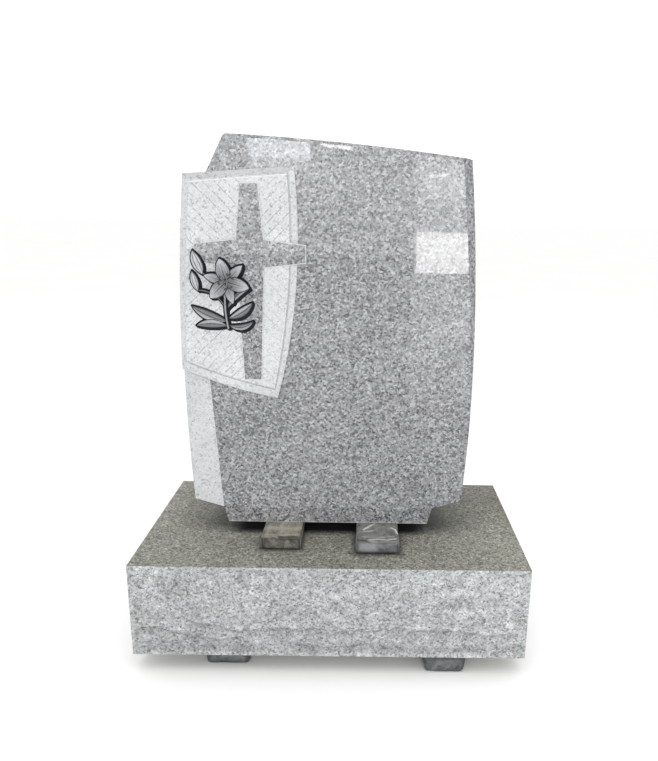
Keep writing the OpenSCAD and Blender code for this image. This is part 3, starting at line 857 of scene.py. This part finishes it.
# ---------------------------------------------------------------- cross
CC = np.array([-172.5, 654.5])
pts = CC + np.array([(-31, 31), (-20, 150), (20, 150), (31, 31), (123, 20), (123, -20), (31, -31), (20, -287), (-20, -287), (-31, -31), (-123, -20), (-123, 20)], float)


def inset(p, d):
    """Clockwise outline moved inwards by d."""
    e = np.roll(p, -1, 0) - p
    e /= np.linalg.norm(e, axis=1, keepdims=True)
    n = np.stack([e[:, 1], -e[:, 0]], -1)
    a, b = np.roll(n, 1, 0), n
    return p + d * (a + b) / (1 + (a * b).sum(1, keepdims=True))


rings = [(pts, 0.0), (pts, CROSS - 1.3), (inset(pts, 1.5), CROSS)]
P = np.vstack([np.column_stack([q[:, 0] + TX, np.full(12, FACE_Y - h), q[:, 1] + TZ]) for q, h in rings])
F = [[12 * r + i, 12 * r + (i + 1) % 12, 12 * r + 12 + (i + 1) % 12, 12 * r + 12 + i] for r in (0, 1) for i in range(12)]
F += [list(range(24, 36)), list(range(11, -1, -1))]
piece = add_piece("cross_relief", P * MM, F, [m_arris, m_polished], [0] * 24 + [1, 0], 20, 1e-6)
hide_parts("cross")

# ---------------------------------------------------------------- stone nodes kept from the model


def dress(node, mat, width=0.0):
    o = nodes[node]
    o.data.materials.clear()
    o.data.materials.append(mat)
    if width:
        w = o.modifiers.new("weld", "WELD")
        w.merge_threshold = 2e-5
        b = o.modifiers.new("arris", "BEVEL")
        b.width = width * MM
        b.segments = 2
        b.limit_method = "ANGLE"
        b.angle_limit = math.radians(18)
        b.harden_normals = True


dress("tablet", m_tablet)
dress("shield_field", m_field)

# ---------------------------------------------------------------- floor and light
me = bpy.data.meshes.new("floor")
me.from_pydata([(-60, -60, 0), (60, -60, 0), (60, 60, 0), (-60, 60, 0)], [], [(0, 1, 2, 3)])
floor = bpy.data.objects.new("floor", me)
scene.collection.objects.link(floor)
m, nt = new_mat("pale_floor")
co = coords(nt)
f = remap(nt, noise(nt, co, 900, 3.0).outputs["Fac"], 0.3, 0.7, 0.965, 0.98)
principled(nt, Base_Color=N(nt, "ShaderNodeCombineColor", {0: f, 1: f, 2: M(nt, "MULTIPLY", f, 0.995)}).outputs[0], Roughness=0.9)
me.materials.append(m)

world = bpy.data.worlds.new("studio")
world.use_nodes = True
scene.world = world
wn = world.node_tree.nodes["Background"]
wn.inputs[0].default_value = (1.0, 1.0, 1.0, 1.0)
wt = world.node_tree
wd = N(wt, "ShaderNodeTexCoord").outputs["Generated"]
wt.links.new(remap(wt, xyz(wt, wd)[1], -0.4, 0.4, 0.80, 1.22, True), wn.inputs[1])


def panel(name, px, pz, level, y=-5.2, tint=(1, 1, 1), lean=0.0):
    """Soft box facing the stone, from px[0] to px[1] across and pz[0] to pz[1] up."""
    w, h = px[1] - px[0], pz[1] - pz[0]
    d = bpy.data.lights.new(name, "AREA")
    d.shape = "RECTANGLE"
    d.size, d.size_y = w, h
    d.energy = math.pi * w * h * level
    d.color = tint
    o = bpy.data.objects.new(name, d)
    o.location = ((px[0] + px[1]) / 2, y, (pz[0] + pz[1]) / 2)
    o.matrix_world = Matrix.Translation(o.location) @ Matrix.Rotation(math.radians(lean), 4, "Y") @ Matrix.Rotation(math.radians(90), 4, "X")
    o.visible_camera = False
    scene.collection.objects.link(o)
    return o


top = panel("overhead", (-1.5, 1.5), (0.0, 2.4), 1.3)
top.matrix_world = Matrix.Translation((0.0, -1.0, 3.2)) @ Matrix.Rotation(math.radians(-8), 4, "X")
panel("front_low", (-2.3, 1.9), (0.02, 0.60), 1.0)
panel("front_mid", (-2.3, 1.9), (0.60, 1.10), 2.5)
panel("front_high", (-2.3, 1.9), (1.10, 2.60), 3.2)
panel("window_right", (0.58, 1.12), (0.45, 0.86), 8.8, y=-5.1)
panel("window_upper", (0.64, 1.03), (1.18, 1.44), 1.8, tint=(0.93, 0.97, 1.0), y=-5.1)
panel("window_left", (-1.10, -0.49), (1.55, 1.95), 7.0, tint=(0.92, 0.97, 1.0), y=-5.1)
panel("window_left_low", (-1.08, -0.52), (1.44, 1.55), 3.4, tint=(0.92, 0.97, 1.0), y=-5.1)
panel("streak", (-0.39, -0.08), (1.645, 1.68), 14.0, lean=7.0, y=-5.1)
panel("card_right", (0.31, 0.64), (0.42, 1.35), 2.0, y=-1.9)
panel("card_right_mid", (0.31, 0.64), (0.22, 0.42), 1.8, y=-1.9)
panel("card_right_low", (0.31, 0.64), (0.03, 0.22), 1.2, y=-1.9)
panel("window_bar", (0.665, 0.86), (1.390, 1.412), 6.0, lean=-4.0, y=-5.0)
panel("window_slash", (0.924, 0.938), (1.447, 1.537), 8.0, lean=12.0, y=-5.0)
